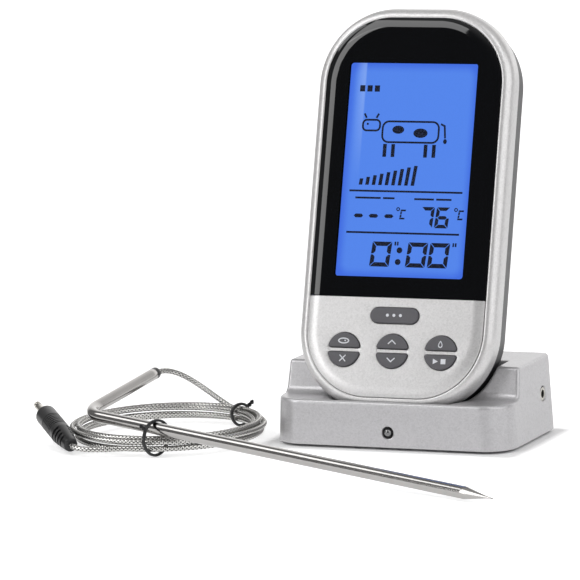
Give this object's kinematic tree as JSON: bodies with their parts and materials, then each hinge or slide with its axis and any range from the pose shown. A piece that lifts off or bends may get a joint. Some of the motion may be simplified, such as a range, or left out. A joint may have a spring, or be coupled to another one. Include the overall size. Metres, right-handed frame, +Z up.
{
  "type": "meat thermometer",
  "caption": "Wireless meat thermometer: a lit display unit leaning in a transmitter base, with a steel probe on a coiled braided lead.",
  "frame": {"origin": "on the table under the middle of the base", "axes": "+X right as the display is read, -Y towards the reader, +Z up"},
  "size_m": [0.1845, 0.1264, 0.1349],
  "materials": {
    "silver_paint_light": "satin metallic paint with a fine sparkle",
    "silver_paint": "satin metallic paint, lightly textured",
    "dark_plastic": "fine spark-eroded texture",
    "lens_black": "polished",
    "lcd_glass": "lit blue display",
    "diffuser": "milky",
    "key_rubber": "matte",
    "mat_rubber": "matte",
    "board_green": "solder mask",
    "black_plastic": "matte",
    "zinc_steel": "zinc plated",
    "stainless": "polished, drawn tube",
    "braid": "woven wires",
    "nickel": "polished nickel",
    "brass_wire": "bright wire",
    "cell_jacket": "printed film",
    "led_clear": "clear dome",
    "pad_rubber": "matte",
    "wire_jacket": "matte"
  },
  "bodies": {
    "base": {"base_shell": "silver_paint", "base_cover": "dark_plastic", "base_pad": "pad_rubber", "base_screws": "zinc_steel", "base_board": "board_green", "status_led": "led_clear", "probe_jack": "black_plastic", "switch_case": "black_plastic", "base_cells": "cell_jacket", "base_contacts": "nickel", "base_antenna": "brass_wire"},
    "display_unit": {"front_housing": "silver_paint_light", "rear_housing": "dark_plastic", "display_lens": "lens_black", "lcd_panel": "lcd_glass", "light_guide": "diffuser", "contact_strip": "mat_rubber", "main_board": "board_green", "keypad_mat": "mat_rubber", "buzzer": "black_plastic", "unit_antenna": "brass_wire", "unit_cells": "cell_jacket", "unit_contacts": "nickel", "unit_screws": "zinc_steel"},
    "unit_battery_door": {"unit_door": "dark_plastic"},
    "base_battery_door": {"base_door": "silver_paint"},
    "power_switch": {"switch_knob": "black_plastic"},
    "probe_set": {"probe_tube": "stainless", "thermistor": "black_plastic", "sensor_wires": "wire_jacket", "end_seal": "black_plastic", "probe_lead": "braid", "lead_ties": "black_plastic", "plug_body": "black_plastic", "plug_sleeve": "nickel", "plug_ring": "black_plastic", "plug_tip": "nickel"},
    "mode_key": {"mode_key": "key_rubber"},
    "meat_key": {"meat_key": "key_rubber"},
    "clear_key": {"clear_key": "key_rubber"},
    "minute_key": {"minute_key": "key_rubber"},
    "second_key": {"second_key": "key_rubber"},
    "taste_key": {"taste_key": "key_rubber"},
    "start_key": {"start_key": "key_rubber"}
  },
  "joints": [
    {"name": "unit_lift", "type": "slide", "parent": "base", "child": "display_unit", "axis": [0, 0.284, 0.9588], "range_m": [0, 0.05]},
    {"name": "mode_press", "type": "slide", "parent": "display_unit", "child": "mode_key", "axis": [0, 0.9588, -0.284], "range_m": [0, 0.0008], "stiffness_N_per_m": 400},
    {"name": "meat_press", "type": "slide", "parent": "display_unit", "child": "meat_key", "axis": [0, 0.9588, -0.284], "range_m": [0, 0.0008], "stiffness_N_per_m": 400},
    {"name": "clear_press", "type": "slide", "parent": "display_unit", "child": "clear_key", "axis": [0, 0.9588, -0.284], "range_m": [0, 0.0008], "stiffness_N_per_m": 400},
    {"name": "minute_press", "type": "slide", "parent": "display_unit", "child": "minute_key", "axis": [0, 0.9588, -0.284], "range_m": [0, 0.0008], "stiffness_N_per_m": 400},
    {"name": "second_press", "type": "slide", "parent": "display_unit", "child": "second_key", "axis": [0, 0.9588, -0.284], "range_m": [0, 0.0008], "stiffness_N_per_m": 400},
    {"name": "taste_press", "type": "slide", "parent": "display_unit", "child": "taste_key", "axis": [0, 0.9588, -0.284], "range_m": [0, 0.0008], "stiffness_N_per_m": 400},
    {"name": "start_press", "type": "slide", "parent": "display_unit", "child": "start_key", "axis": [0, 0.9588, -0.284], "range_m": [0, 0.0008], "stiffness_N_per_m": 400},
    {"name": "unit_door_swing", "type": "hinge", "parent": "display_unit", "child": "unit_battery_door", "pos_m": [0, 0.00492, 0.03236], "axis": [-1, 0, 0], "range_deg": [0, 75]},
    {"name": "base_door_swing", "type": "hinge", "parent": "base", "child": "base_battery_door", "pos_m": [0, 0.0204, 0.0039], "axis": [-1, 0, 0], "range_deg": [0, 80]},
    {"name": "switch_slide", "type": "slide", "parent": "base", "child": "power_switch", "axis": [1, 0, 0], "range_m": [0, 0.0025]},
    {"name": "probe_lift", "type": "slide", "parent": "base", "child": "probe_set", "axis": [0, 0, 1], "range_m": [0, 0.04]}
  ]
}
